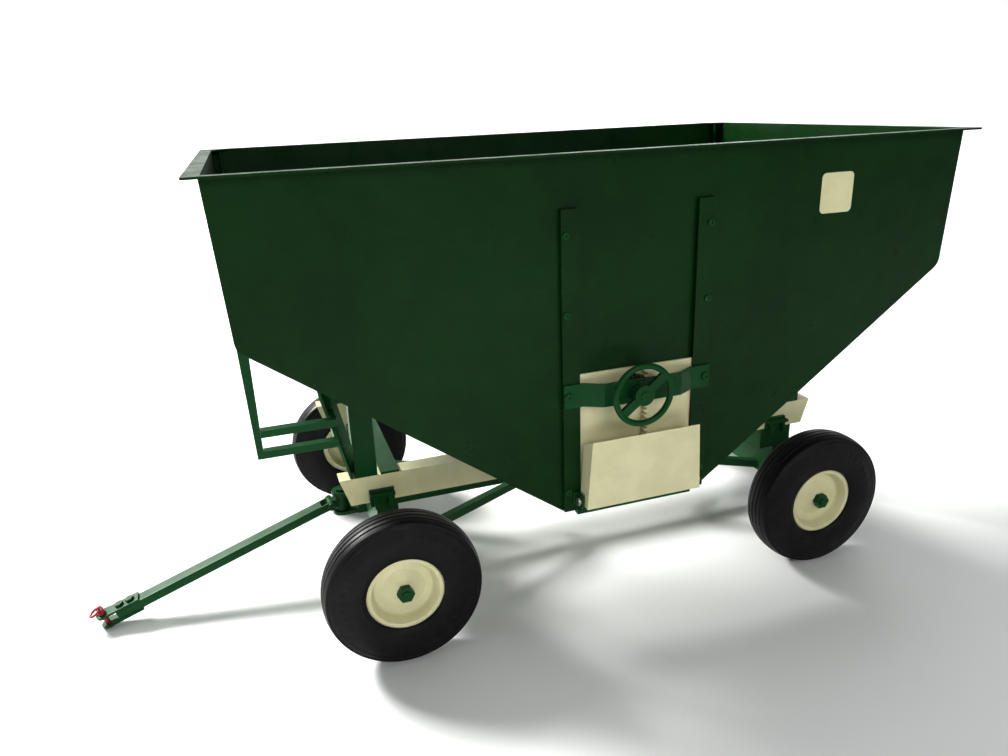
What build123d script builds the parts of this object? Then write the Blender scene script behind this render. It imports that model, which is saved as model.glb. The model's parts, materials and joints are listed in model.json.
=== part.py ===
# Gravity wagon: a hopper box with a side discharge door on a four wheeled
# running gear.  Millimetres.  Front (tongue) towards -X, door side towards -Y.
from build123d import *
import math
import os

os.makedirs("parts", exist_ok=True)

# ---- hopper -------------------------------------------------------------
box_length = 450.0         # along the rim
box_width = 274.0          # across the rim
rim_height = 302.5         # top of the rim above the ground
bend_height = 217.5        # where the end walls turn into the slopes
bend_inset = 4.5           # how far the end walls lean in at the bend
bend_radius = 9.0
throat_height = 91.5       # lower edge of the box at the door
throat_length = 95.0       # length of that lower edge
floor_rise = 0.62          # rise of the sloping floor per unit of width
sheet = 1.2                # sheet thickness
lip_width = 7.3            # outward flange round the rim
# ---- door, rails, chute ---------------------------------------------------
rail_width = 10.5
rail_depth = 3.2
rail_top = 273.5
rail_web = 5.2             # part of the rail that lies on the wall
door_height = 79.0         # opening height above the throat
gate_height = 87.0
gate_thickness = 1.3
gate_travel = 60.0
gap = 0.3                  # clearance between sliding faces
screw_hole = 1.3
screw_shank = 1.0
bolt_shank = 1.4
chute_length = 76.0
chute_taper = 2.8          # narrowing of each side at the outlet
chute_rise = 6.3           # lower edge above the throat
chute_height = 43.7
chute_base_depth = 15.5
chute_top_depth = 17.0
chute_pivot_depth = 8.0
chute_pivot_rise = 9.0
chute_pin = 1.5
# ---- rack, pinion, handwheel ---------------------------------------------
tooth_module = 1.0
pinion_teeth = 16
tooth_gap = 0.22           # clearance on each flank at the pitch line
shaft_radius = 2.5
shaft_height = 167.0
shaft_offset = -4.0        # shaft ahead of the middle of the door
strap_height = 14.0
strap_standoff = 9.5
strap_thickness = 1.5
handwheel_diameter = 38.5
handwheel_rim = 3.6
handwheel_depth = 18.5     # middle of the rim, out from the wall
# ---- running gear ----------------------------------------------------------
tyre_diameter = 99.3
tyre_width = 24.0
wheel_rim_radius = 21.7
wheelbase = 303.3
front_axle_x = 78.7
wheel_inset = 20.8         # wheel centre plane inside the wall plane
axle_inset = 38.0          # end of the square axle inside the wall plane
spindle_radius = 2.5
axle_size = 10.0
sill_width = 12.6
sill_top = 107.4
sill_bottom = 88.9
sill_front = 51.0
sill_rear = 405.0
sill_cut = 5.8             # set back of the lower corner at each end
sill_inset = 67.5          # sill centre lines inside the wall planes
reach_size = 8.0
# ---- tongue -----------------------------------------------------------------
tongue_yaw = 5.0           # rest angle, towards the door side
tongue_pitch = 17.0        # rest angle, downwards
swivel_x = 57.0
swivel_height = 55.0
hinge_ahead = 8.8          # hinge ahead of the upright pin
tongue_width = 10.4
tongue_height = 6.2
tongue_length = 158.0
clevis_reach = 171.0
hitch_pin_radius = 1.6
# ---- ladder -------------------------------------------------------------------
ladder_foot = 158.0
rung_height = 4.0
rung_pitch = 11.7
rung_end = 49.0            # rear end of the rungs, measured from the front wall
rung_depth = 5.0

mid_x = box_length / 2
mid_y = box_width / 2
tyre_radius = tyre_diameter / 2
rear_axle_x = front_axle_x + wheelbase
throat_front = mid_x - throat_length / 2
throat_rear = mid_x + throat_length / 2
slope_run = throat_front - bend_inset
slope = (bend_height - throat_height) / slope_run
panel_top = rim_height - sheet
made = {}


def keep(name, part):
    made[name] = part


def block(x0, x1, y0, y1, z0, z1, mode=Mode.ADD):
    with Locations(((x0 + x1) / 2, (y0 + y1) / 2, (z0 + z1) / 2)):
        Box(x1 - x0, y1 - y0, z1 - z0, mode=mode)


def rod(x, y, z, radius, length, turn, mode=Mode.ADD):
    with Locations(Location((x, y, z), turn)):
        Cylinder(radius, length, mode=mode)


ALONG_X = (0, 90, 0)
ALONG_Y = (90, 0, 0)
ALONG_Z = (0, 0, 0)


def nearest(sketch, x, y):
    return min(sketch.vertices(), key=lambda v: (v.X - x) ** 2 + (v.Y - y) ** 2)


def slab_xz(points, y0, y1, rounds=(), mode=Mode.ADD):
    with BuildSketch(Plane.XZ.offset(-y0)) as outline:
        Polygon(*points, align=None)
        for x, z, radius in rounds:
            fillet(nearest(outline, x, z), radius)
    extrude(outline.sketch, amount=-(y1 - y0), mode=mode)


def slab_yz(points, x0, x1, mode=Mode.ADD):
    with BuildSketch(Plane.YZ.offset(x0)) as outline:
        Polygon(*points, align=None)
    extrude(outline.sketch, amount=x1 - x0, mode=mode)


def slab_xy(points, z0, z1, mode=Mode.ADD):
    with BuildSketch(Plane.XY.offset(z0)) as outline:
        Polygon(*points, align=None)
    extrude(outline.sketch, amount=z1 - z0, mode=mode)


def floor_under(y):
    return throat_height + floor_rise * y


floor_thick = sheet * math.sqrt(1 + floor_rise ** 2)


def floor_over(y):
    return floor_under(y) + floor_thick


profile = [
    (0, panel_top),
    (bend_inset, bend_height),
    (throat_front, throat_height),
    (throat_rear, throat_height),
    (box_length - bend_inset, bend_height),
    (box_length, panel_top),
]
profile_rounds = [
    (bend_inset, bend_height, bend_radius),
    (box_length - bend_inset, bend_height, bend_radius),
]

# Solid bounded by the outside of the hopper, used to trim what meets it.
with BuildPart() as hopper_solid:
    slab_xz(profile, 0, box_width, profile_rounds)
    slab_yz([(sheet, throat_height - 5), (box_width + 20, throat_height - 5),
             (box_width + 20, floor_under(box_width + 20)), (sheet, floor_under(sheet))],
            -20, box_length + 20, mode=Mode.SUBTRACT)
hopper_outside = hopper_solid.part

# ---- hopper sheets -----------------------------------------------------------
rail_front_x = throat_front
rail_rear_x = throat_rear
door_front = rail_front_x + rail_width + 2
door_rear = rail_rear_x - rail_width - 2
web_front = rail_front_x + rail_web / 2
web_rear = rail_rear_x - rail_web / 2
screw_heights = [rail_top - 14, shaft_height + 48, throat_height + 13.5]
screw_spots = [(x, z) for x in (web_front, web_rear) for z in screw_heights]
bolt_spots = [(web_front, shaft_height), (web_rear, shaft_height)]

with BuildPart() as near_side_panel:
    slab_xz(profile, 0, sheet, profile_rounds)
    block(door_front, door_rear, -1, sheet + 1, throat_height - 1, throat_height + door_height,
          Mode.SUBTRACT)
    for x, z in screw_spots:
        rod(x, 0, z, screw_hole, 10, ALONG_Y, Mode.SUBTRACT)
    for x, z in bolt_spots:
        rod(x, 0, z, bolt_shank + gap, 10, ALONG_Y, Mode.SUBTRACT)
keep("near_side_panel", near_side_panel.part)

with BuildPart() as far_side_panel:
    slab_xz(profile, box_width - sheet, box_width, profile_rounds)
    block(-50, box_length + 50, 0, box_width + 50, 0, floor_under(box_width - sheet), Mode.SUBTRACT)
keep("far_side_panel", far_side_panel.part)


def end_sheet(front):
    # Wall and slope bent from one sheet, stopped at the sloping floor.
    lean = math.atan2(bend_inset, panel_top - bend_height)
    fall = math.atan2(bend_height - throat_height, slope_run)
    in_x = sheet / math.cos(lean)
    turn = (math.pi / 2 - lean - fall)
    shift = sheet * math.tan(turn / 2)
    inner_bend = (bend_inset + sheet * math.cos(lean) + shift * math.sin(lean),
                  bend_height + sheet * math.sin(lean) + shift * math.cos(lean))
    drop = sheet / math.cos(fall)
    points = [
        (0, panel_top),
        (bend_inset, bend_height),
        (throat_front, throat_height),
        (throat_front, throat_height + drop),
        inner_bend,
        (in_x, panel_top),
    ]
    rounds = [(bend_inset, bend_height, bend_radius),
              (inner_bend[0], inner_bend[1], bend_radius - sheet)]
    if not front:
        points = [(box_length - x, z) for x, z in points]
        rounds = [(box_length - x, z, r) for x, z, r in rounds]
    slab_xz(points, sheet, box_width - sheet, rounds)
    slab_yz([(0, 0), (box_width, 0), (box_width, floor_over(box_width)), (0, floor_over(0))],
            -20, box_length + 20, mode=Mode.SUBTRACT)


with BuildPart() as front_sheet:
    end_sheet(True)
keep("front_sheet", front_sheet.part)

with BuildPart() as rear_sheet:
    end_sheet(False)
keep("rear_sheet", rear_sheet.part)

with BuildPart() as floor_sheet:
    slab_xz(profile, sheet, box_width - sheet, profile_rounds)
    with BuildPart(mode=Mode.INTERSECT):
        slab_yz([(0, floor_under(0)), (box_width, floor_under(box_width)),
                 (box_width, floor_over(box_width)), (0, floor_over(0))], -5, box_length + 5)
keep("floor_sheet", floor_sheet.part)

with BuildPart() as rim_flange:
    block(-lip_width, box_length + lip_width, -lip_width, box_width + lip_width, panel_top, rim_height)
    block(sheet, box_length - sheet, sheet, box_width - sheet, panel_top - 1, rim_height + 1, Mode.SUBTRACT)
    for x in (-lip_width, box_length + lip_width):
        for y in (-lip_width, box_width + lip_width):
            corner = min(rim_flange.edges().filter_by(Axis.Z),
                         key=lambda e: abs(e.center().X - x) + abs(e.center().Y - y))
            fillet(corner, 1.5)
keep("rim_flange", rim_flange.part)

with BuildPart() as corner_gussets:
    for side in (0, 1):
        pts = [(sheet, box_width - sheet), (sheet, box_width - 14), (14, box_width - sheet)]
        if side:
            pts = [(box_length - x, y) for x, y in pts]
        slab_xy(pts, panel_top, rim_height)
keep("corner_gussets", corner_gussets.part)

with BuildPart() as corner_angles:
    for side in (0, 1):
        x0 = bend_inset + 2.2
        zl = floor_over(box_width - sheet) + 1
        pts = [(x0, box_width - sheet), (x0, box_width - sheet - 9), (x0 + 1, box_width - sheet - 9),
               (x0 + 1, box_width - sheet - 1), (x0 + 9, box_width - sheet - 1), (x0 + 9, box_width - sheet)]
        if side:
            pts = [(box_length - x, y) for x, y in pts]
        slab_xy(pts, zl, panel_top)
keep("corner_angles", corner_angles.part)

with BuildPart() as discharge_lip:
    block(door_front - 4, door_rear + 4, -rail_depth, sheet, throat_height - 2.8, throat_height)
keep("discharge_lip", discharge_lip.part)


# ---- rails and their screws ------------------------------------------------------
def rail(front):
    inner = rail_front_x + rail_width
    web = rail_front_x + rail_web
    slot = gate_thickness + 2 * gap
    points = [(rail_front_x, 0), (rail_front_x, -rail_depth), (inner, -rail_depth), (inner, -slot),
              (web, -slot), (web, 0)]
    if not front:
        points = [(box_length - x, y) for x, y in points]
    slab_xy(points, throat_height + 0.5, rail_top)
    for x, z in screw_spots:
        rod(x, 0, z, screw_hole, 20, ALONG_Y, Mode.SUBTRACT)
    for x, z in bolt_spots:
        rod(x, 0, z, bolt_shank + gap, 20, ALONG_Y, Mode.SUBTRACT)


with BuildPart() as guide_rail_front:
    rail(True)
keep("guide_rail_front", guide_rail_front.part)

with BuildPart() as guide_rail_rear:
    rail(False)
keep("guide_rail_rear", guide_rail_rear.part)


def pan_screw(x, face, z, shank, head, tail):
    # Domed head on the -Y side with a cross recess.
    rod(x, (face + tail) / 2, z, shank, tail - face, ALONG_Y)
    height = head * 0.55
    with BuildPart(Plane.XZ.offset(-face)) as cap:
        with Locations((x, z, height / 2)):
            Cylinder(head, height)
        fillet(cap.edges().filter_by(GeomType.CIRCLE).sort_by(Axis.Y)[0], height * 0.55)
    add(cap.part)
    for wide, tall in ((head * 1.1, 0.5), (0.5, head * 1.1)):
        block(x - wide / 2, x + wide / 2, face - height - 1, face - height * 0.45,
              z - tall / 2, z + tall / 2, Mode.SUBTRACT)


with BuildPart() as rail_screws:
    for x, z in screw_spots:
        pan_screw(x, -rail_depth, z, screw_shank, 2.2, sheet + 2.2)
keep("rail_screws", rail_screws.part)

with BuildPart() as rail_nuts:
    for x, z in screw_spots:
        with BuildSketch(Plane.XZ.offset(-sheet)):
            with Locations((x, z)):
                RegularPolygon(2.3, 6)
                Circle(screw_hole, mode=Mode.SUBTRACT)
        extrude(amount=-1.6)
keep("rail_nuts", rail_nuts.part)

# ---- strap bracket that carries the handwheel shaft ---------------------------------
shaft_x = mid_x + shaft_offset
strap_in = -rail_depth
strap_mid = -strap_standoff
bend_a = rail_front_x + rail_width + 1.5
bend_b = rail_rear_x - rail_width - 1.5
with BuildPart() as shaft_strap:
    t = strap_thickness
    pts = [
        (rail_front_x, strap_in), (rail_front_x, strap_in - t), (bend_a - 0.6, strap_in - t),
        (bend_a + 10.5, strap_mid - t), (bend_b - 10.5, strap_mid - t), (bend_b + 0.6, strap_in - t),
        (rail_rear_x, strap_in - t), (rail_rear_x, strap_in), (bend_b, strap_in),
        (bend_b - 11, strap_mid), (bend_a + 11, strap_mid), (bend_a, strap_in),
    ]
    slab_xy(pts, shaft_height - strap_height / 2, shaft_height + strap_height / 2)
    for x, z in bolt_spots:
        rod(x, 0, z, bolt_shank + gap, 40, ALONG_Y, Mode.SUBTRACT)
    rod(shaft_x, strap_mid, shaft_height, 4.0, 20, ALONG_Y, Mode.SUBTRACT)
keep("shaft_strap", shaft_strap.part)

with BuildPart() as strap_bolts:
    for x, z in bolt_spots:
        pan_screw(x, strap_in - strap_thickness, z, bolt_shank, 2.6, sheet + 2.8)
keep("strap_bolts", strap_bolts.part)

with BuildPart() as strap_nuts:
    for x, z in bolt_spots:
        with BuildSketch(Plane.XZ.offset(-sheet)):
            with Locations((x, z)):
                RegularPolygon(2.9, 6)
                Circle(bolt_shank + gap, mode=Mode.SUBTRACT)
        extrude(amount=-2.0)
keep("strap_nuts", strap_nuts.part)

bush_face = strap_mid - strap_thickness
with BuildPart() as shaft_bush:
    rod(shaft_x, (strap_mid + bush_face) / 2, shaft_height, 3.96, strap_thickness, ALONG_Y)
    rod(shaft_x, bush_face - 0.8, shaft_height, 5.4, 1.6, ALONG_Y)
    rod(shaft_x, bush_face, shaft_height, shaft_radius + 0.05, 20, ALONG_Y, Mode.SUBTRACT)
keep("shaft_bush", shaft_bush.part)

# ---- chute lugs and pins ---------------------------------------------------------------
chute_pivot_y = -chute_pivot_depth
chute_pivot_z = throat_height + chute_pivot_rise
chute_front = mid_x - chute_length / 2
chute_rear = mid_x + chute_length / 2
lug = 1.2
with BuildPart() as chute_lugs:
    for way, edge in ((1, chute_front), (-1, chute_rear)):
        z0 = chute_pivot_z - 4
        z1 = chute_pivot_z + 4
        xs = sorted((edge - way * (gap + lug), edge - way * gap))
        block(xs[0], xs[1], chute_pivot_y - 3.4, -rail_depth - 1.0, z0, z1)
        foot = rail_front_x + rail_width - 5.2 if way > 0 else rail_rear_x - rail_width + 5.2
        xs = sorted((foot, edge - way * gap))
        block(xs[0], xs[1], -rail_depth - lug, -rail_depth, z0, z1)
        rod(edge, chute_pivot_y, chute_pivot_z, chute_pin + gap, 10, ALONG_X, Mode.SUBTRACT)
keep("chute_lugs", chute_lugs.part)

with BuildPart() as chute_pins:
    for way, edge in ((1, chute_front), (-1, chute_rear)):
        rod(edge - way * 0.2, chute_pivot_y, chute_pivot_z, chute_pin, 5.6, ALONG_X)
        rod(edge - way * (2 * gap + lug + 0.8), chute_pivot_y, chute_pivot_z, 2.5, 1.6, ALONG_X)
keep("chute_pins", chute_pins.part)

# ---- ladder ------------------------------------------------------------------------------


def slope_z(x):
    return bend_height - slope * (x - bend_inset)


stile_rear = 10.2
with BuildPart() as ladder_stile:
    pts = [(4.8, bend_height + 6), (stile_rear, bend_height + 6), (stile_rear, ladder_foot), (7.0, ladder_foot)]
    slab_xz(pts, 0.0, 2.0)
    add(hopper_outside, mode=Mode.SUBTRACT)
keep("ladder_stile", ladder_stile.part)

leg_top = Vector(42.0, 3.0, slope_z(42.0))
sill_lines = [sill_inset, box_width - sill_inset]
leg_foot = Vector(59.5, sill_lines[0], sill_top)
leg_dir = (leg_foot - leg_top).normalized()
upper_rung = ladder_foot + rung_pitch


def splayed_leg():
    # Angle section from the sill up and out to the lower edge of the slope.
    reach = 12.0
    start = leg_top - leg_dir * reach
    plane = Plane(origin=start, x_dir=Vector(1, 0, 0).cross(leg_dir).normalized(), z_dir=leg_dir)
    length = (leg_foot - leg_top).length + 2 * reach
    with BuildPart(plane) as leg:
        with Locations((0, 0, length / 2)):
            Box(8.5, 1.5, length)
        with Locations((3.5, 3.4, length / 2)):
            Box(1.5, 5.3, length)
    return leg.part


with BuildPart() as sill_cutter:
    block(0, box_length, sill_lines[0] - 30, sill_lines[1] + 30, 20, sill_top)

with BuildPart() as splayed_leg_front:
    add(splayed_leg())
    add(hopper_outside, mode=Mode.SUBTRACT)
    add(sill_cutter.part, mode=Mode.SUBTRACT)
    block(-20, box_length + 20, -60, 0, 0, rim_height, Mode.SUBTRACT)
keep("splayed_leg", splayed_leg_front.part)

with BuildPart() as ladder_rungs:
    for z in (ladder_foot, upper_rung):
        share = (leg_top.Z - z - rung_height / 2) / (leg_top.Z - leg_foot.Z)
        leg_y = leg_top.Y + share * (leg_foot.Y - leg_top.Y)
        leg_x = leg_top.X + share * (leg_foot.X - leg_top.X)
        block(stile_rear, rung_end, 0.0, rung_depth, z, z + rung_height)
        block(min(leg_x + 0.4, rung_end - 1.8), rung_end, 0.0, leg_y, z, z + rung_height)
    add(splayed_leg_front.part, mode=Mode.SUBTRACT)
keep("ladder_rungs", ladder_rungs.part)

# ---- sills, posts, ties --------------------------------------------------------------------


def sill(y):
    points = [(sill_front, sill_top), (sill_front + sill_cut, sill_bottom),
              (sill_rear - sill_cut, sill_bottom), (sill_rear, sill_top)]
    slab_xz(points, y - sill_width / 2, y + sill_width / 2)


with BuildPart() as box_sills:
    sill(sill_lines[0])
    sill(sill_lines[1])
keep("box_sills", box_sills.part)

post_width = 14.0
post_front = 61.5
post_rear = 395.0
post_angle = 1.5


def post(front, near):
    y_out = sill_lines[0] - sill_width / 2 + 0.5 if near else sill_lines[1] + sill_width / 2 - 0.5
    way = 1 if near else -1
    pts = [(post_front, y_out), (post_front + post_width, y_out),
           (post_front + post_width, y_out + way * post_angle),
           (post_front + post_angle, y_out + way * post_angle),
           (post_front + post_angle, y_out + way * 11), (post_front, y_out + way * 11)]
    if not front:
        pts = [(post_rear + post_front - x, y) for x, y in pts]
    slab_xy(pts, sill_top, rim_height)


with BuildPart() as support_posts:
    for front in (True, False):
        post(front, True)
        post(front, False)
    add(hopper_outside, mode=Mode.SUBTRACT)
    block(0, box_length, 0, mid_y, bend_height, rim_height + 10, Mode.SUBTRACT)
    block(0, box_length, mid_y, box_width, rim_height - 30, rim_height + 10, Mode.SUBTRACT)
keep("support_posts", support_posts.part)

# trim anything of the leg that runs into the post
with BuildPart() as trimmed_leg:
    add(splayed_leg_front.part)
    block(post_front - 0.2, post_front + post_width + 0.2, sill_lines[0] - sill_width, sill_lines[0] + sill_width,
          0, rim_height, Mode.SUBTRACT)
made["splayed_leg"] = trimmed_leg.part

tie_y0 = sill_lines[0] - sill_width / 2
tie_y1 = sill_lines[1] + sill_width / 2
with BuildPart() as cross_ties:
    for x0 in (post_front + post_width + 2, post_rear - post_width - 14):
        block(x0, x0 + 12, tie_y0, tie_y1, sill_top, sill_top + 1.5)
        block(x0, x0 + 1.5, tie_y0 + sill_width + 1, tie_y1 - sill_width - 1, sill_top - 8, sill_top)
keep("cross_ties", cross_ties.part)

# ---- running gear frame -----------------------------------------------------------------------
axle_y0 = axle_inset
axle_y1 = box_width - axle_inset
axle_top = tyre_radius + axle_size / 2
axle_low = tyre_radius - axle_size / 2


def axle(x):
    block(x - axle_size / 2, x + axle_size / 2, axle_y0, axle_y1, axle_low, axle_top)
    edge_list = faces().sort_by(Axis.Y)[0].edges() + faces().sort_by(Axis.Y)[-1].edges()
    chamfer(edge_list, 1.0)


with BuildPart() as front_axle:
    axle(front_axle_x)
keep("front_axle", front_axle.part)

with BuildPart() as rear_axle:
    axle(rear_axle_x)
keep("rear_axle", rear_axle.part)


def bolster(x, ahead, behind):
    block(x - ahead, x + behind, tie_y0, tie_y1, sill_bottom - 16, sill_bottom)
    block(x - 6, x + 6, tie_y0, tie_y1, axle_top, sill_bottom - 16)


with BuildPart() as front_bolster:
    bolster(front_axle_x, 6.0, 8.0)
keep("front_bolster", front_bolster.part)

with BuildPart() as rear_bolster:
    bolster(rear_axle_x, 18.0, 8.0)
keep("rear_bolster", rear_bolster.part)


def stake(x, y, way):
    # Angle bracket bolted to the outside of a sill.
    ys = sorted((y, y + way * 2.2))
    block(x - 8, x + 8, ys[0], ys[1], sill_bottom - 2.5, sill_bottom + 9)
    ys = sorted((y + way * 2.2, y + way * 6.2))
    block(x - 8, x + 8, ys[0], ys[1], sill_bottom + 5.5, sill_bottom + 7.5)
    block(x - 5.5, x - 3.5, ys[0], ys[1], sill_bottom - 2.5, sill_bottom + 5.5)
    block(x + 3.5, x + 5.5, ys[0], ys[1], sill_bottom - 2.5, sill_bottom + 5.5)


with BuildPart() as sill_brackets:
    for x in (front_axle_x - 2, rear_axle_x - 7):
        stake(x, tie_y0, -1)
        stake(x, tie_y1, 1)
keep("sill_brackets", sill_brackets.part)

with BuildPart() as reach_pole:
    block(front_axle_x + axle_size / 2, rear_axle_x - axle_size / 2, mid_y - reach_size / 2,
          mid_y + reach_size / 2, tyre_radius - reach_size / 2, tyre_radius + reach_size / 2)
    fillet(edges().filter_by(Axis.X), 0.8)
keep("reach_pole", reach_pole.part)


def hound(x_axle, x_reach, y_out, way):
    half = 3.0
    y_in = mid_y - way * reach_size / 2
    pts = [(x_axle, y_out - half), (x_axle, y_out + half), (x_reach, y_in), (x_reach, y_in - 2 * half * way)]
    if way < 0:
        pts = [(x_axle, y_out + half), (x_axle, y_out - half), (x_reach, y_in), (x_reach, y_in + 2 * half)]
    slab_xy(pts, tyre_radius - 3, tyre_radius + 3)


with BuildPart() as front_hounds:
    for way, y_out in ((1, 70.0), (-1, box_width - 70.0)):
        hound(front_axle_x + axle_size / 2, front_axle_x + 122, y_out, way)
keep("front_hounds", front_hounds.part)

with BuildPart() as rear_hounds:
    for way, y_out in ((1, 82.0), (-1, box_width - 82.0)):
        hound(rear_axle_x - axle_size / 2, rear_axle_x - 82, y_out, way)
keep("rear_hounds", rear_hounds.part)

# ---- wheels ---------------------------------------------------------------------------------------
corners = {
    "front_near": (front_axle_x, wheel_inset, -1),
    "front_far": (front_axle_x, box_width - wheel_inset, 1),
    "rear_near": (rear_axle_x, wheel_inset, -1),
    "rear_far": (rear_axle_x, box_width - wheel_inset, 1),
}
hub_in = -12.0
hub_out = 7.0
nut_depth = 4.0
tyre_half = tyre_width / 2
bead = 7.4


def wheel_plane_at(spot):
    x, y, out = spot
    return Plane(origin=(x, y, tyre_radius), x_dir=(1, 0, 0), z_dir=(0, out, 0))


def tyre(spot):
    with BuildPart(wheel_plane_at(spot)) as whole:
        with BuildSketch(wheel_plane_at(spot) * Plane.XZ):
            with BuildLine():
                r0 = wheel_rim_radius + 0.03
                r_mid = tyre_radius * 0.75
                r_sh = tyre_radius * 0.955
                Polyline((r0 + 3.0, -bead), (r0, -bead), (r0, bead), (r0 + 3.0, bead))
                Spline((r0 + 3.0, bead), (r0 + 5.5, bead + 2.6), (r_mid, tyre_half),
                       (r_sh, tyre_half * 0.86))
                ThreePointArc((r_sh, tyre_half * 0.86), (tyre_radius, 0), (r_sh, -tyre_half * 0.86))
                Spline((r_sh, -tyre_half * 0.86), (r_mid, -tyre_half), (r0 + 5.5, -bead - 2.6),
                       (r0 + 3.0, -bead))
            make_face()
            for a in (-7.0, -3.5, 0.0, 3.5, 7.0):
                with Locations((tyre_radius, a)):
                    Rectangle(2.6 if abs(a) < 6 else 4.0, 0.8, mode=Mode.SUBTRACT)
        revolve(axis=Axis(origin=(spot[0], spot[1], tyre_radius), direction=(0, 1, 0)))
    return whole.part


def rim(spot):
    with BuildPart() as whole:
        with BuildSketch(wheel_plane_at(spot) * Plane.XZ):
            r = wheel_rim_radius
            Polygon((r - 1.2, -bead - 1.4), (r + 2.6, -bead - 1.4), (r + 2.6, -bead - 0.2), (r, -bead - 0.2),
                    (r, bead + 0.2), (r + 2.6, bead + 0.2), (r + 2.6, bead + 1.5), (r + 1.6, bead + 2.0),
                    (r - 0.4, bead + 1.6), (r - 1.6, bead - 0.6), (r - 2.6, bead - 3.6), (r - 3.4, bead - 4.6),
                    (r - 8.4, bead - 4.6), (7.6, hub_out - 1.5), (5.2, hub_out), (spindle_radius + 0.06, hub_out),
                    (spindle_radius + 0.06, hub_in), (5.2, hub_in), (5.2, hub_out - 3.2),
                    (r - 8.6, bead - 6.0), (r - 1.8, bead - 6.0), (r - 1.2, bead - 6.4), align=None)
        revolve(axis=Axis(origin=(spot[0], spot[1], tyre_radius), direction=(0, 1, 0)))
    return whole.part


for name, spot in corners.items():
    keep(name + "_tyre", tyre(spot))
    keep(name + "_rim", rim(spot))

with BuildPart() as spindles:
    for x, y, out in corners.values():
        inner = y + out * (hub_in - gap)
        axle_end = axle_y0 if out < 0 else axle_y1
        tip = y + out * (hub_out + gap + nut_depth + 1.0)
        rod(x, (inner + axle_end) / 2, tyre_radius, 4.2, abs(inner - axle_end), ALONG_Y)
        rod(x, (inner + tip) / 2, tyre_radius, spindle_radius, abs(inner - tip), ALONG_Y)
keep("spindles", spindles.part)

with BuildPart() as hub_nuts:
    for x, y, out in corners.values():
        start = y + out * (hub_out + gap)
        plane = Plane(origin=(x, start, tyre_radius), x_dir=(1, 0, 0), z_dir=(0, out, 0))
        with BuildSketch(plane):
            RegularPolygon(5.4, 6)
            Circle(spindle_radius + 0.03, mode=Mode.SUBTRACT)
        extrude(amount=nut_depth)
keep("hub_nuts", hub_nuts.part)

# ---- tongue ------------------------------------------------------------------------------------------
axle_front = front_axle_x - axle_size / 2
yoke_gap = 12.8
with BuildPart() as tongue_yoke:
    top = swivel_height + yoke_gap / 2
    low_z = swivel_height - yoke_gap / 2
    block(swivel_x + 10.5, front_axle_x, mid_y - 8, mid_y + 8, low_z - 2.5, top + 2.5)
    for z0 in (top, low_z - 2.5):
        with BuildSketch(Plane.XY.offset(z0)):
            with Locations((swivel_x + 6, mid_y)):
                Rectangle(12, 14)
            with Locations((swivel_x, mid_y)):
                Circle(7)
        extrude(amount=2.5)
    rod(swivel_x, mid_y, swivel_height, spindle_radius + gap, 40, ALONG_Z, Mode.SUBTRACT)
    add(front_axle.part, mode=Mode.SUBTRACT)
    add(front_bolster.part, mode=Mode.SUBTRACT)
keep("tongue_yoke", tongue_yoke.part)

with BuildPart() as swivel_pin:
    rod(swivel_x, mid_y, swivel_height, spindle_radius, yoke_gap + 7, ALONG_Z)
    rod(swivel_x, mid_y, swivel_height + yoke_gap / 2 + 2.5 + 0.8, 4.0, 1.6, ALONG_Z)
keep("swivel_pin", swivel_pin.part)

yaw = math.radians(tongue_yaw)
pitch = math.radians(tongue_pitch)
ahead = Vector(-math.cos(yaw), -math.sin(yaw), 0)
swivel_centre = Vector(swivel_x, mid_y, swivel_height)
hinge = swivel_centre + ahead * hinge_ahead
level = Plane(origin=swivel_centre, x_dir=ahead, z_dir=(0, 0, 1))
along = Vector(ahead.X * math.cos(pitch), ahead.Y * math.cos(pitch), -math.sin(pitch))
upward = Vector(ahead.X * math.sin(pitch), ahead.Y * math.sin(pitch), math.cos(pitch))
drawn = Plane(origin=hinge, x_dir=along, z_dir=upward)
eye_half = tongue_width / 2 - 1.5

with BuildPart(level) as swivel_block:
    Cylinder(5.0, yoke_gap - 2 * gap)
    with Locations((hinge_ahead / 2, 0, 0)):
        Box(hinge_ahead, 2 * eye_half, 6.0)
    with Locations(Location((hinge_ahead, 0, 0), (90, 0, 0))):
        Cylinder(3.0, 2 * eye_half)
        Cylinder(1.55, 30, mode=Mode.SUBTRACT)
    Cylinder(spindle_radius + 0.06, 40, mode=Mode.SUBTRACT)
keep("swivel_block", swivel_block.part)

with BuildPart(drawn) as hinge_bolt:
    with Locations(Location((0, 0, 0), (90, 0, 0))):
        Cylinder(1.5, tongue_width + 5)
    for side in (-1, 1):
        with Locations(Location((0, side * (tongue_width / 2 + gap + 1.0), 0), (90, 0, 0))):
            Cylinder(2.8, 2.0)
keep("hinge_bolt", hinge_bolt.part)

half_w = tongue_width / 2
half_h = tongue_height / 2
tube_start = 6.5
bolt_us = (tongue_length - 10.5, tongue_length - 3.2)
with BuildPart(drawn) as tongue_tube:
    with Locations(((tube_start + tongue_length) / 2, 0, 0)):
        Box(tongue_length - tube_start, tongue_width, tongue_height)
    fillet(edges().filter_by(lambda e: e.length > tongue_length * 0.8), 0.9)
    with Locations(((tube_start + tongue_length) / 2, 0, 0)):
        Box(tongue_length - tube_start + 2, tongue_width - 2.6, tongue_height - 2.6, mode=Mode.SUBTRACT)
    for side in (-1, 1):
        with Locations((tube_start / 2 + 1, side * (half_w - 0.65), 0)):
            Box(tube_start + 2, 1.3, tongue_height - 0.6)
        with Locations(Location((0, side * (half_w - 0.65), 0), (90, 0, 0))):
            Cylinder(half_h - 0.3, 1.3)
    with Locations(Location((0, 0, 0), (90, 0, 0))):
        Cylinder(1.5 + gap, 40, mode=Mode.SUBTRACT)
    for u in bolt_us:
        with Locations((u, 0, 0)):
            Cylinder(1.5, 20, mode=Mode.SUBTRACT)
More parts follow.
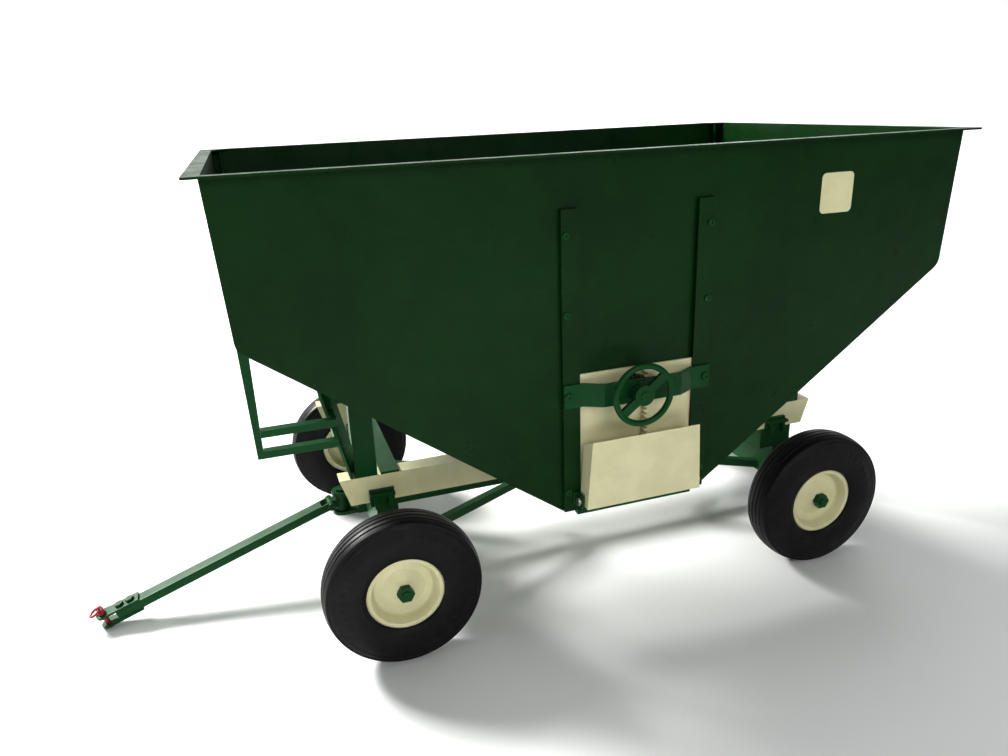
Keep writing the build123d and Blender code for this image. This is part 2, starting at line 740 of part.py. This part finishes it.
keep("tongue_tube", tongue_tube.part)

plate_t = 1.6
pin_u = clevis_reach - 4.5


def clevis_plate(side):
    start = tongue_length - 16
    with Locations(((start + clevis_reach - 4) / 2, 0, side * (half_h + plate_t / 2))):
        Box(clevis_reach - 4 - start, tongue_width, plate_t)
    with Locations((clevis_reach - 6, 0, side * (half_h + plate_t / 2))):
        Cylinder(6.0, plate_t)
    with Locations((pin_u, 0, side * half_h)):
        Cylinder(hitch_pin_radius + 0.1, 12, mode=Mode.SUBTRACT)
    for u in bolt_us:
        with Locations((u, 0, side * half_h)):
            Cylinder(1.5, 12, mode=Mode.SUBTRACT)


with BuildPart(drawn) as clevis_top_plate:
    clevis_plate(1)
keep("clevis_top_plate", clevis_top_plate.part)

with BuildPart(drawn) as clevis_bottom_plate:
    clevis_plate(-1)
keep("clevis_bottom_plate", clevis_bottom_plate.part)

top_w = half_h + plate_t
with BuildPart(drawn) as clevis_bolts:
    for u in bolt_us:
        with Locations((u, 0, 0.35)):
            Cylinder(1.2, 2 * top_w + 3.1)
        with Locations((u, 0, -top_w - 0.45)):
            Cylinder(2.4, 0.9)
keep("clevis_bolts", clevis_bolts.part)

with BuildPart() as clevis_nuts:
    for u in bolt_us:
        seat = Plane(origin=drawn.from_local_coords((u, 0, top_w)), x_dir=along, z_dir=upward)
        with BuildSketch(seat):
            RegularPolygon(3.0, 6)
            Circle(1.23, mode=Mode.SUBTRACT)
        extrude(amount=1.8)
keep("clevis_nuts", clevis_nuts.part)

eye_w = top_w + 3.6
with BuildPart(drawn) as hitch_pin:
    with Locations((pin_u, 0, 0.2)):
        Cylinder(hitch_pin_radius, 2 * top_w + 0.4)
    with Locations((pin_u, 0, top_w + gap + 0.5)):
        Cylinder(2.5, 1.0)
    with Locations((pin_u, 0, top_w + 3.0)):
        Box(4.2, 1.6, 3.6)
    with Locations(Location((pin_u, 0, eye_w + 0.6), (90, 0, 0))):
        Cylinder(2.1, 1.6)
        Cylinder(1.2, 1.7, mode=Mode.SUBTRACT)
keep("hitch_pin", hitch_pin.part)

ring_major = 3.6
ring_tilt = math.radians(-14.0)
eye_point = drawn.from_local_coords((pin_u, 0, eye_w + 0.6))
ring_way = along * math.cos(ring_tilt) + upward * math.sin(ring_tilt)
ring_up = upward * math.cos(ring_tilt) - along * math.sin(ring_tilt)
ring_plane = Plane(origin=eye_point + ring_way * ring_major, x_dir=ring_way, z_dir=ring_up)
with BuildPart(ring_plane) as pull_ring:
    Torus(ring_major, 0.8)
keep("pull_ring", pull_ring.part)

# ---- gate, rack -----------------------------------------------------------------------------------------
gate_front = rail_front_x + rail_web + 0.8
gate_rear = rail_rear_x - rail_web - 0.8
gate_low = throat_height + gap
gate_face = -gap - gate_thickness
with BuildPart() as gate_plate:
    block(gate_front, gate_rear, gate_face, -gap, gate_low, gate_low + gate_height)
keep("gate_plate", gate_plate.part)

pitch_radius = tooth_module * pinion_teeth / 2
rack_line = shaft_x + pitch_radius
tooth_pitch = math.pi * tooth_module
tan20 = math.tan(math.radians(20))
half_thick = tooth_pitch / 4 - tooth_gap / 2
rack_low = shaft_height - gate_travel - 5
rack_high = gate_low + gate_height - 0.8
rack_back = rack_line + 5.0
rack_width = 4.6
with BuildPart() as gate_rack:
    root = rack_line + 1.25 * tooth_module
    tip = rack_line - 0.85 * tooth_module
    block(root, rack_back, gate_face - rack_width, gate_face, rack_low, rack_high)
    count = int((rack_high - rack_low) / tooth_pitch) + 1
    for n in range(-count, count + 1):
        z = shaft_height + n * tooth_pitch
        if z - 1.4 > rack_low and z + 1.4 < rack_high:
            wide = half_thick + (root - rack_line) * tan20
            thin = half_thick - (rack_line - tip) * tan20
            slab_xz([(root + 0.2, z - wide), (root, z - wide), (tip, z - thin), (tip, z + thin),
                     (root, z + wide), (root + 0.2, z + wide)], gate_face - rack_width, gate_face)
keep("gate_rack", gate_rack.part)


# ---- pinion, shaft, handwheel --------------------------------------------------------------------------
def involute(radius, base):
    if radius <= base:
        return 0.0
    angle = math.acos(base / radius)
    return math.tan(angle) - angle


def pinion_outline():
    base = pitch_radius * math.cos(math.radians(20))
    outer = pitch_radius + 0.9 * tooth_module
    inner = pitch_radius - 1.25 * tooth_module
    half_pitch_angle = half_thick / pitch_radius + involute(pitch_radius, base)
    radii = [inner, base, (base + pitch_radius) / 2, pitch_radius, (pitch_radius + outer) / 2, outer]
    points = []
    for k in range(pinion_teeth):
        middle = (k + 0.5) * 2 * math.pi / pinion_teeth
        sides = [(r, half_pitch_angle - involute(r, base)) for r in radii]
        for r, a in sides:
            points.append((r * math.cos(middle - a), r * math.sin(middle - a)))
        for r, a in reversed(sides):
            points.append((r * math.cos(middle + a), r * math.sin(middle + a)))
    return points


pinion_out = gate_face - 0.7
pinion_width = 4.8
shaft_plane = Plane(origin=(shaft_x, pinion_out, shaft_height), x_dir=(1, 0, 0), z_dir=(0, -1, 0))
with BuildPart(shaft_plane) as pinion:
    with BuildSketch(shaft_plane):
        Polygon(*pinion_outline(), align=None)
    extrude(amount=pinion_width)
    with Locations((0, 0, pinion_width + 0.2)):
        Cylinder(4.5, 0.6)
    Cylinder(shaft_radius + 0.03, 40, mode=Mode.SUBTRACT)
keep("pinion", pinion.part)

shaft_end = -handwheel_depth - 2.6
with BuildPart() as wheel_shaft:
    rod(shaft_x, (pinion_out + shaft_end) / 2, shaft_height, shaft_radius, pinion_out - shaft_end, ALONG_Y)
keep("wheel_shaft", wheel_shaft.part)

rim_mid = handwheel_diameter / 2 - handwheel_rim / 2
hub_back = bush_face - 1.6 - gap
with BuildPart(Plane(origin=(shaft_x, -handwheel_depth, shaft_height), x_dir=(1, 0, 0),
                     z_dir=(0, -1, 0))) as handwheel:
    Torus(rim_mid, handwheel_rim / 2)
    with Locations(Location((0, 0, 0), (0, 0, 38))):
        Box(2 * rim_mid, 5.2, 2.4)
    hub_len = handwheel_depth + 1.9 + hub_back
    with Locations((0, 0, 1.9 - hub_len / 2)):
        Cylinder(6.2, hub_len)
    Cylinder(shaft_radius + 0.03, 60, mode=Mode.SUBTRACT)
keep("handwheel", handwheel.part)

# ---- chute --------------------------------------------------------------------------------------------
chute_low = throat_height + chute_rise
chute_high = chute_low + chute_height
back = -rail_depth - 1.3
with BuildPart() as chute_pan:
    side = [(back, chute_low + 0.6), (-chute_base_depth, chute_low), (-chute_top_depth, chute_high),
            (back, chute_high - 6)]
    slab_yz(side, chute_front, chute_rear)
    lean = math.atan2(chute_top_depth - chute_base_depth, chute_height)
    push = sheet / math.cos(lean)
    for inset, lower in ((0.0, False), (sheet, True)):
        low_half = chute_length / 2 - inset
        high_half = low_half - chute_taper
        if lower:
            # hollow of the pan, open above, below and towards the wall
            grow = 10.0
            rate = chute_taper / chute_height
            dip = (chute_top_depth - chute_base_depth) / chute_height
            with BuildPart(mode=Mode.PRIVATE) as hollow:
                slab_xz([(mid_x - low_half - rate * grow, chute_low - grow),
                         (mid_x + low_half + rate * grow, chute_low - grow),
                         (mid_x + high_half - rate * grow, chute_high + grow),
                         (mid_x - high_half + rate * grow, chute_high + grow)], -60, 10)
                with BuildPart(mode=Mode.INTERSECT):
                    slab_yz([(10, chute_low - grow), (-chute_base_depth + push + dip * grow, chute_low - grow),
                             (-chute_top_depth + push - dip * grow, chute_high + grow), (10, chute_high + grow)],
                            chute_front - 20, chute_rear + 20)
            add(hollow.part, mode=Mode.SUBTRACT)
        else:
            for sign in (-1, 1):
                pts = [(mid_x + sign * low_half, chute_low), (mid_x + sign * (low_half + 20), chute_low - 5),
                       (mid_x + sign * (low_half + 20), chute_high + 5),
                       (mid_x + sign * (high_half - chute_taper * 0.1), chute_high + 0.1 * chute_height),
                       (mid_x + sign * high_half, chute_high)]
                slab_xz(pts, -60, 10, mode=Mode.SUBTRACT)
    rod(mid_x, chute_pivot_y, chute_pivot_z, chute_pin + 0.06, 200, ALONG_X, Mode.SUBTRACT)
keep("chute_pan", chute_pan.part)

# ---- place the origin under the middle of the wagon and write each piece ---------------------------------
boxes = [part.bounding_box() for part in made.values()]
low_x = min(b.min.X for b in boxes)
high_x = max(b.max.X for b in boxes)
low_y = min(b.min.Y for b in boxes)
high_y = max(b.max.Y for b in boxes)
low_z = min(b.min.Z for b in boxes)
high_z = max(b.max.Z for b in boxes)
shift_x = -(low_x + high_x) / 2
shift_y = -(low_y + high_y) / 2
shift_z = -low_z
for name, part in made.items():
    moved = part.moved(Location((shift_x, shift_y, shift_z)))
    moved.label = name
    export_step(moved, "parts/" + name + ".step")
print("shift", round(shift_x, 4), round(shift_y, 4), round(shift_z, 4))
print("size", round(high_x - low_x, 3), round(high_y - low_y, 3), round(high_z - low_z, 3))
print("nodes", len(made))
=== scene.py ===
import json
import math
import random

import bpy
from mathutils import Matrix, Vector


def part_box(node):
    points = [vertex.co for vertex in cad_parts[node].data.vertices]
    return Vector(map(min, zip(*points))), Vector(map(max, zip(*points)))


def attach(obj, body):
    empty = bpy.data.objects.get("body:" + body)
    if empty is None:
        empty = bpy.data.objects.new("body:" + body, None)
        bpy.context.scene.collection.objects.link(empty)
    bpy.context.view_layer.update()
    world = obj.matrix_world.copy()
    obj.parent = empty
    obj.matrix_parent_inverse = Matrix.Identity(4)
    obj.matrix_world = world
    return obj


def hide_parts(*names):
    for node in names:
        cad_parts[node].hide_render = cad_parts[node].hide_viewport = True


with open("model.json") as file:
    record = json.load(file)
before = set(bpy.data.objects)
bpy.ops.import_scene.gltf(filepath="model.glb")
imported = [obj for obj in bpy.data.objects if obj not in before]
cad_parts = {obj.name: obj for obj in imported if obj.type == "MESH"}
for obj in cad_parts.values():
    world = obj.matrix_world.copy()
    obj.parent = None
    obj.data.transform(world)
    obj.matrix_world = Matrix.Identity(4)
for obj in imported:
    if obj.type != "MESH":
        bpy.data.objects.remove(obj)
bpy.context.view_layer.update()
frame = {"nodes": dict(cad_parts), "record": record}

MM = 0.001
BEAD_RADIUS = 24.3 * MM
SHOULDER_DROP = 1.7 * MM
GROOVE_DEPTH = 1.25 * MM
GROOVES = (-0.62, -0.21, 0.21, 0.62)
MARK_HEIGHT = 0.34 * MM
TYRE_SEGMENTS = 288
TREAD_STEPS = 72
NODES = frame["nodes"]


# ---------------------------------------------------------------- shader helpers
class Tree:
    def __init__(self, name):
        self.mat = bpy.data.materials.new(name)
        self.mat.use_nodes = True
        self.t = self.mat.node_tree
        self.t.nodes.clear()
        self.out = self.node("ShaderNodeOutputMaterial")
        self.bsdf = self.node("ShaderNodeBsdfPrincipled")
        self.link(self.bsdf.outputs["BSDF"], self.out.inputs["Surface"])
        self.coord = self.node("ShaderNodeTexCoord").outputs["Object"]

    def node(self, kind):
        return self.t.nodes.new(kind)

    def link(self, a, b):
        self.t.links.new(a, b)

    def put(self, value, socket):
        if hasattr(value, "is_output"):
            self.link(value, socket)
        else:
            socket.default_value = value

    def noise(self, scale, detail=4.0, rough=0.55, stretch=None, distort=0.0):
        n = self.node("ShaderNodeTexNoise")
        n.inputs["Scale"].default_value = scale
        n.inputs["Detail"].default_value = detail
        n.inputs["Roughness"].default_value = rough
        n.inputs["Distortion"].default_value = distort
        src = self.coord
        if stretch:
            m = self.node("ShaderNodeMapping")
            m.inputs["Scale"].default_value = stretch
            self.link(self.coord, m.inputs["Vector"])
            src = m.outputs["Vector"]
        self.link(src, n.inputs["Vector"])
        return n.outputs["Fac"]

    def voronoi(self, scale, feature="F1"):
        n = self.node("ShaderNodeTexVoronoi")
        n.feature = feature
        n.inputs["Scale"].default_value = scale
        self.link(self.coord, n.inputs["Vector"])
        return n.outputs["Distance"]

    def ramp(self, fac, stops):
        n = self.node("ShaderNodeValToRGB")
        e = n.color_ramp.elements
        while len(e) < len(stops):
            e.new(0.5)
        for i, (pos, col) in enumerate(stops):
            e[i].position = pos
            c = (col, col, col) if isinstance(col, (int, float)) else col
            e[i].color = (*c, 1.0)
        self.link(fac, n.inputs["Fac"])
        return n.outputs["Color"]

    def math(self, op, a, b=0.0, clamp=False):
        n = self.node("ShaderNodeMath")
        n.operation = op
        n.use_clamp = clamp
        self.put(a, n.inputs[0])
        self.put(b, n.inputs[1])
        return n.outputs[0]

    def mix(self, fac, a, b):
        n = self.node("ShaderNodeMix")
        n.data_type = "RGBA"
        self.put(fac, n.inputs["Factor"])
        for value, socket in ((a, n.inputs["A"]), (b, n.inputs["B"])):
            if hasattr(value, "is_output"):
                self.link(value, socket)
            else:
                socket.default_value = (*value, 1.0)
        return n.outputs["Result"]

    def span(self, fac, a, b, c, d):
        n = self.node("ShaderNodeMapRange")
        n.inputs["From Min"].default_value = a
        n.inputs["From Max"].default_value = b
        n.inputs["To Min"].default_value = c
        n.inputs["To Max"].default_value = d
        self.link(fac, n.inputs["Value"])
        return n.outputs["Result"]

    def edge(self, radius):
        """1 on a sharp outside or inside edge, 0 on a flat face."""
        b = self.node("ShaderNodeBevel")
        b.samples = 4
        b.inputs["Radius"].default_value = radius
        g = self.node("ShaderNodeNewGeometry")
        d = self.node("ShaderNodeVectorMath")
        d.operation = "DOT_PRODUCT"
        self.link(b.outputs["Normal"], d.inputs[0])
        self.link(g.outputs["Normal"], d.inputs[1])
        return self.math("SUBTRACT", 1.0, d.outputs["Value"], clamp=True)

    def up(self):
        g = self.node("ShaderNodeNewGeometry")
        s = self.node("ShaderNodeSeparateXYZ")
        self.link(g.outputs["Normal"], s.inputs["Vector"])
        return s.outputs["Z"]

    def bump(self, height, strength, distance):
        n = self.node("ShaderNodeBump")
        n.inputs["Strength"].default_value = strength
        n.inputs["Distance"].default_value = distance
        self.link(height, n.inputs["Height"])
        self.link(n.outputs["Normal"], self.bsdf.inputs["Normal"])
        return n

    def set(self, **values):
        for k, v in values.items():
            self.put(v, self.bsdf.inputs[k.replace("_", " ")])


def paint(name, base, deep, chip, rough=0.34, wear_and_edge_highlight=1.0, dust=(0.30, 0.28, 0.22), dust_amount=0.10,
          peel=1.0, tone=1.0, coat=0.35):
    m = Tree(name)
    cloud = m.noise(9.0, 5.0, 0.6)
    mottle = m.noise(70.0, 4.0, 0.6)
    colour = m.mix(m.span(cloud, 0.35, 0.65, 0.0, 1.0), deep, base)
    pale = [min(1, c * 1.5 + 0.006) for c in base]
    colour = m.mix(m.span(mottle, 0.4, 0.62, 0.0, 0.14 * tone), colour, pale)
    streak = m.noise(30.0, 3.0, 0.5, stretch=(1.0, 1.0, 0.12))
    colour = m.mix(m.span(streak, 0.54, 0.78, 0.0, 0.22 * tone), colour, [c * 0.62 for c in deep])
    facing_up = m.span(m.up(), 0.55, 1.0, 0.0, 1.0)
    lying = m.math("MULTIPLY", facing_up, m.span(m.noise(45.0, 6.0, 0.7), 0.42, 0.66, 0.0, 1.0))
    lying = m.math("MULTIPLY", lying, dust_amount)
    colour = m.mix(lying, colour, dust)
    edge = m.edge(0.0007)
    patch = m.span(m.noise(160.0, 6.0, 0.7), 0.50, 0.64, 0.0, 1.0)
    worn = m.math("MULTIPLY", m.span(edge, 0.03, 0.16, 0.0, 1.0), patch)
    worn = m.math("MULTIPLY", worn, wear_and_edge_highlight, clamp=True)
    # Painted highlight: every sharp edge is lightened towards a paler copy of the base colour, scaled by the
    # same amount as the wear; the chips mixed in next are real wear.
    colour = m.mix(m.math("MULTIPLY", m.span(edge, 0.02, 0.2, 0.0, 1.0), 0.35 * wear_and_edge_highlight), colour,
                   [min(1.0, c * 1.35 + 0.012) for c in base])
    colour = m.mix(worn, colour, chip)
    dots = m.math("LESS_THAN", m.voronoi(430.0), 0.075)
    speck = m.math("MULTIPLY", dots, m.span(cloud, 0.5, 0.62, 0.0, 0.5 * wear_and_edge_highlight))
    colour = m.mix(speck, colour, chip)
    m.set(Base_Color=colour, Metallic=0.0, Specular_IOR_Level=0.17, Coat_Weight=coat, Coat_Roughness=0.16)
    r = m.span(m.noise(55.0, 5.0, 0.6), 0.3, 0.7, rough - 0.07, rough + 0.11)
    m.set(Roughness=m.math("ADD", r, m.math("MULTIPLY", m.math("ADD", worn, lying), 0.22), clamp=True))
    fine = m.math("MULTIPLY", m.noise(900.0, 2.0, 0.5), 0.5)
    h = m.math("ADD", fine, m.math("MULTIPLY", m.noise(130.0, 3.0, 0.5), 0.9))
    h = m.math("SUBTRACT", h, m.math("MULTIPLY", worn, 0.5))
    m.bump(h, 0.16 * peel, 0.0004)
    return m.mat


def rubber(name):
    m = Tree(name)
    cloud = m.noise(24.0, 5.0, 0.6)
    colour = m.ramp(cloud, [(0.3, (0.0026, 0.0026, 0.003)), (0.7, (0.006, 0.0057, 0.006))])
    dust = m.math("MULTIPLY", m.span(m.noise(110.0, 6.0, 0.7), 0.46, 0.72, 0.0, 1.0), 0.10)
    colour = m.mix(dust, colour, (0.07, 0.065, 0.06))
    edge = m.edge(0.0006)
    # Painted highlight: sharp edges of the tyre are lightened to a dark grey.
    colour = m.mix(m.math("MULTIPLY", m.span(edge, 0.02, 0.2, 0.0, 1.0), 0.30), colour, (0.022, 0.021, 0.021))
    m.set(Base_Color=colour, Metallic=0.0, Specular_IOR_Level=0.22)
    m.set(Roughness=m.span(m.noise(60.0, 5.0, 0.65), 0.3, 0.7, 0.36, 0.56))
    h = m.math("ADD", m.noise(700.0, 3.0, 0.6), m.math("MULTIPLY", m.noise(150.0, 4.0, 0.6), 0.7))
    m.bump(h, 0.22, 0.0003)
    return m.mat


def steel(name, base, rough=0.36, stain=(0.10, 0.075, 0.05), stain_amount=0.35):
    m = Tree(name)
    brushed = m.noise(260.0, 3.0, 0.6, stretch=(1.0, 1.0, 0.1))
    colour = m.mix(m.span(brushed, 0.35, 0.65, 0.0, 0.35), base, [c * 0.62 for c in base])
    grime = m.math("MULTIPLY", m.span(m.noise(190.0, 6.0, 0.7), 0.48, 0.68, 0.0, 1.0), stain_amount)
    colour = m.mix(grime, colour, stain)
    m.set(Base_Color=colour, Metallic=1.0)
    sheen = m.span(brushed, 0.3, 0.7, rough - 0.06, rough + 0.1)
    m.set(Roughness=m.math("ADD", sheen, m.math("MULTIPLY", grime, 0.5), clamp=True))
    m.bump(m.math("ADD", brushed, m.math("MULTIPLY", grime, 0.6)), 0.18, 0.0002)
    return m.mat


GREEN = paint("hopper_green", (0.0020, 0.036, 0.0040), (0.0014, 0.026, 0.0030), (0.03, 0.10, 0.05),
              rough=0.33, dust=(0.05, 0.09, 0.04), coat=0.0)
GREEN_FRAME = paint("frame_green", (0.0045, 0.070, 0.017), (0.0033, 0.052, 0.012), (0.07, 0.15, 0.09),
                    rough=0.34, wear_and_edge_highlight=1.1, dust=(0.08, 0.12, 0.07), coat=0.0)
CREAM = paint("cream", (0.72, 0.69, 0.45), (0.66, 0.63, 0.40), (0.30, 0.27, 0.16), rough=0.38, wear_and_edge_highlight=0.75,
              dust=(0.42, 0.38, 0.26), dust_amount=0.16, coat=0.25)
RED = paint("pin_red", (0.42, 0.035, 0.05), (0.30, 0.02, 0.03), (0.45, 0.33, 0.30), rough=0.36, wear_and_edge_highlight=1.3)
RUBBER = rubber("tyre_rubber")
ZINC = steel("zinc_steel", (0.50, 0.51, 0.50))
DARK = steel("oiled_steel", (0.13, 0.13, 0.12), rough=0.40)
BY_SLOT = {"green_paint": GREEN, "cream_paint": CREAM, "tyre_rubber": RUBBER, "zinc_steel": ZINC,
           "dark_steel": DARK, "red_paint": RED}
slot_of = {s["node"]: s["material_slot"] for s in frame["record"]["subparts"]}
frame_green = {"shaft_strap", "discharge_lip", "chute_lugs", "ladder_stile", "ladder_rungs", "splayed_leg",
               "support_posts", "cross_ties", "front_axle", "rear_axle", "front_bolster", "rear_bolster",
               "sill_brackets", "reach_pole", "front_hounds", "rear_hounds", "spindles", "hub_nuts",
               "rail_screws", "strap_bolts", "tongue_yoke", "swivel_pin", "swivel_block", "hinge_bolt",
               "tongue_tube", "clevis_top_plate",
               "clevis_bottom_plate", "clevis_bolts", "clevis_nuts", "handwheel", "wheel_shaft"}


def assign(obj, mat):
    obj.data.materials.clear()
    obj.data.materials.append(mat)


for name, obj in NODES.items():
    mat = GREEN_FRAME if name in frame_green else BY_SLOT[slot_of[name]]
    assign(obj, mat)


# ---------------------------------------------------------------- pieces
def new_piece(name, verts, faces, mat, smooth=True):
    me = bpy.data.meshes.new(name)
    me.from_pydata(verts, [], faces)
    me.update()
    me.polygons.foreach_set("use_smooth", [smooth] * len(me.polygons))
    o = bpy.data.objects.new(name, me)
    bpy.context.scene.collection.objects.link(o)
    assign(o, mat)
    return o


def tyre_profile(out_r, bead_r, half):
    """Section of the tyre as (across, radius, mark) from one bead to the other."""
    crown = half * 0.80
    side = []
    for i in range(25):
        t = i / 24
        r = bead_r + (out_r - 3.2 * MM - bead_r) * t
        bulge = math.sin(math.pi * min(1.0, 0.16 + 0.74 * t)) ** 0.55
        side.append([half * (0.60 + 0.40 * bulge), r, 0])
    for p in side:
        f = (p[1] - bead_r) / (out_r - bead_r)
        if 0.10 < f < 0.135 or 0.80 < f < 0.84:
            p[0] += 0.30 * MM
        if 0.36 < f < 0.60:
            p[2] = 1
        p[0] = min(p[0], half)
    tread = []
    n = TREAD_STEPS
    for i in range(n + 1):
        a = crown * (1 - 2 * i / n)
        r = out_r - SHOULDER_DROP * (abs(a) / crown) ** 2.4
        for g in GROOVES:
            if abs(a / crown - g) < 0.045:
                r -= GROOVE_DEPTH
        tread.append([a, r, 0])
    a0, r0 = side[-1][0], side[-1][1]
    shoulder = []
    for i in range(1, 6):
        t = i / 6
        a = a0 + (crown - a0) * t ** 1.5
        r = r0 + (out_r - SHOULDER_DROP - r0) * (1 - (1 - t) ** 1.7)
        shoulder.append([a, r, 0])
    near = side + shoulder
    return near + tread + [[-a, r, m] for a, r, m in reversed(near)]


def tyre_piece(name, node, body, seed):
    lo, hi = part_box(node)
    c = (Vector(lo) + Vector(hi)) / 2
    out_r = (hi[2] - lo[2]) / 2
    half = (hi[1] - lo[1]) / 2
    prof = tyre_profile(out_r, BEAD_RADIUS, half)
    rng = random.Random(seed)
    segs = TYRE_SEGMENTS
    marks = [0] * segs
    for start in (8, 104, 206):
        k = start
        for _ in range(rng.randint(7, 9)):
            w = rng.choice((3, 4, 5))
            for j in range(w):
                marks[(k + j) % segs] = 1
            k += w + 3
    verts, faces = [], []
    m = len(prof)
    for s in range(segs):
        ang = 2 * math.pi * s / segs
        for a, r, mark in prof:
            raise_by = MARK_HEIGHT * marks[s] if mark else 0.0
            a2 = a + math.copysign(raise_by, a)
            a2 = max(-half, min(half, a2))
            verts.append((c.x + r * math.cos(ang), c.y + a2, c.z + r * math.sin(ang)))
    for s in range(segs):
        b, d = s * m, ((s + 1) % segs) * m
        for k in range(m - 1):
            faces.append((b + k, b + k + 1, d + k + 1, d + k))
        faces.append((b + m - 1, b, d, d + m - 1))
    o = new_piece(name, verts, faces, RUBBER)
    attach(o, body)
    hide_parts(node)
    return o


for i, corner in enumerate(("front_near", "front_far", "rear_near", "rear_far")):
    tyre_piece(corner + "_tyre_body", corner + "_tyre", corner + "_wheel", 11 + i)

def side_label():
    """Plain rounded label stuck on the near side panel, with nothing printed on it."""
    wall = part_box("near_side_panel")[0].y
    left, low, wide, tall, corner, thick = 178.0 * MM, 257.5 * MM, 23.0 * MM, 24.0 * MM, 3.0 * MM, 0.12 * MM
    ring = []
    for cx, cz, start in ((wide - corner, tall - corner, 0), (corner, tall - corner, 90),
                          (corner, corner, 180), (wide - corner, corner, 270)):
        for k in range(7):
            a = math.radians(start + 15 * k)
            ring.append((left + cx + corner * math.cos(a), low + cz + corner * math.sin(a)))
    n = len(ring)
    verts = [(x, wall - thick, z) for x, z in ring] + [(x, wall, z) for x, z in ring]
    faces = [list(range(n)), list(range(2 * n - 1, n - 1, -1))]
    faces += [(k, n + k, n + (k + 1) % n, (k + 1) % n) for k in range(n)]
    o = new_piece("side_label", verts, faces, CREAM, smooth=False)
    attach(o, "wagon")
    return o


side_label()

# ---------------------------------------------------------------- stage, light, camera
def stage_mesh(name, points, faces, mat):
    me = bpy.data.meshes.new(name)
    me.from_pydata(points, [], faces)
    me.update()
    o = bpy.data.objects.new(name, me)
    bpy.context.scene.collection.objects.link(o)
    for p in me.polygons:
        p.use_smooth = True
    assign(o, mat)
    return o


def backdrop():
    m = Tree("studio_floor")
    m.set(Base_Color=(0.88, 0.89, 0.885, 1.0), Roughness=0.75, Metallic=0.0)
    pts, faces = [], []
    rows = [(-9.0, 0.0)]
    bend = 1.2
    turns = [i * math.pi / 2 / 16 for i in range(17)]
    rows += [(2.4 + bend * math.sin(a), bend - bend * math.cos(a)) for a in turns]
    rows.append((3.6, 9.0))
    for y, z in rows:
        pts += [(-14.0, y, z), (14.0, y, z)]
    for i in range(len(rows) - 1):
        faces.append((2 * i, 2 * i + 1, 2 * i + 3, 2 * i + 2))
    return stage_mesh("studio_floor", pts, faces, m.mat)


backdrop()

world = bpy.data.worlds.new("studio")
bpy.context.scene.world = world
world.use_nodes = True
wt = world.node_tree
sky = wt.nodes["Background"]
where = wt.nodes.new("ShaderNodeTexCoord")
facing = wt.nodes.new("ShaderNodeVectorMath")
facing.operation = "DOT_PRODUCT"
facing.inputs[1].default_value = (-0.45, 0.80, 0.40)
wt.links.new(where.outputs["Generated"], facing.inputs[0])
tone = wt.nodes.new("ShaderNodeValToRGB")
tone.color_ramp.elements[0].position = 0.0
tone.color_ramp.elements[0].color = (0.10, 0.105, 0.11, 1.0)
tone.color_ramp.elements[1].position = 0.75
tone.color_ramp.elements[1].color = (0.93, 0.96, 1.0, 1.0)
wt.links.new(facing.outputs["Value"], tone.inputs["Fac"])
wt.links.new(tone.outputs["Color"], sky.inputs["Color"])
sky.inputs["Strength"].default_value = 0.55


def area(name, at, to, size, power, colour=(1, 1, 1)):
    data = bpy.data.lights.new(name, "AREA")
    data.shape = "RECTANGLE"
    data.size, data.size_y = size
    data.energy = power
    data.color = colour
    o = bpy.data.objects.new(name, data)
    o.location = at
    o.rotation_euler = (Vector(to) - Vector(at)).to_track_quat("-Z", "Y").to_euler()
    bpy.context.scene.collection.objects.link(o)
    return o


area("key_window", (-1.75, 2.05, 2.15), (0, 0, 0.1), (0.9, 0.8), 200, (1.0, 0.99, 0.97))
area("front_fill", (0.3, -2.3, 1.3), (0.1, 0, 0.1), (1.8, 1.2), 22, (1.0, 1.0, 0.98))
area("top_soft", (0.2, 0.3, 1.9), (0, 0, 0), (1.4, 1.4), 8)
area("wall_wash", (2.4, 1.7, 2.3), (3.6, 3.4, 0.3), (1.6, 1.2), 85, (1.0, 1.0, 0.98))

# ---------------------------------------------------------------- camera
SHIFT = Vector((-168.6792, -130.1000, -0.0032)) * MM
cam_data = bpy.data.cameras.new("camera")
cam_data.sensor_fit = "HORIZONTAL"
cam_data.sensor_width = 36.0
cam_data.lens = 777.7155 / 1008 * 36.0
cam_data.clip_start = 0.02
cam_data.clip_end = 20.0
cam = bpy.data.objects.new("camera", cam_data)
right = Vector((0.94748, -0.317479, -0.038587))
down = Vector((-0.141083, -0.306635, -0.941313))
ahead = Vector((0.287015, 0.897319, -0.335322))
turn = Matrix((right, -down, -ahead)).transposed().to_4x4()
cam.matrix_world = Matrix.Translation(Vector((18.0321, -391.0006, 329.1207)) * MM + SHIFT) @ turn
bpy.context.scene.collection.objects.link(cam)
bpy.context.scene.camera = cam
bpy.context.scene.view_settings.view_transform = "Standard"
bpy.context.scene.view_settings.exposure = 0.3
bpy.context.scene.view_settings.gamma = 0.86
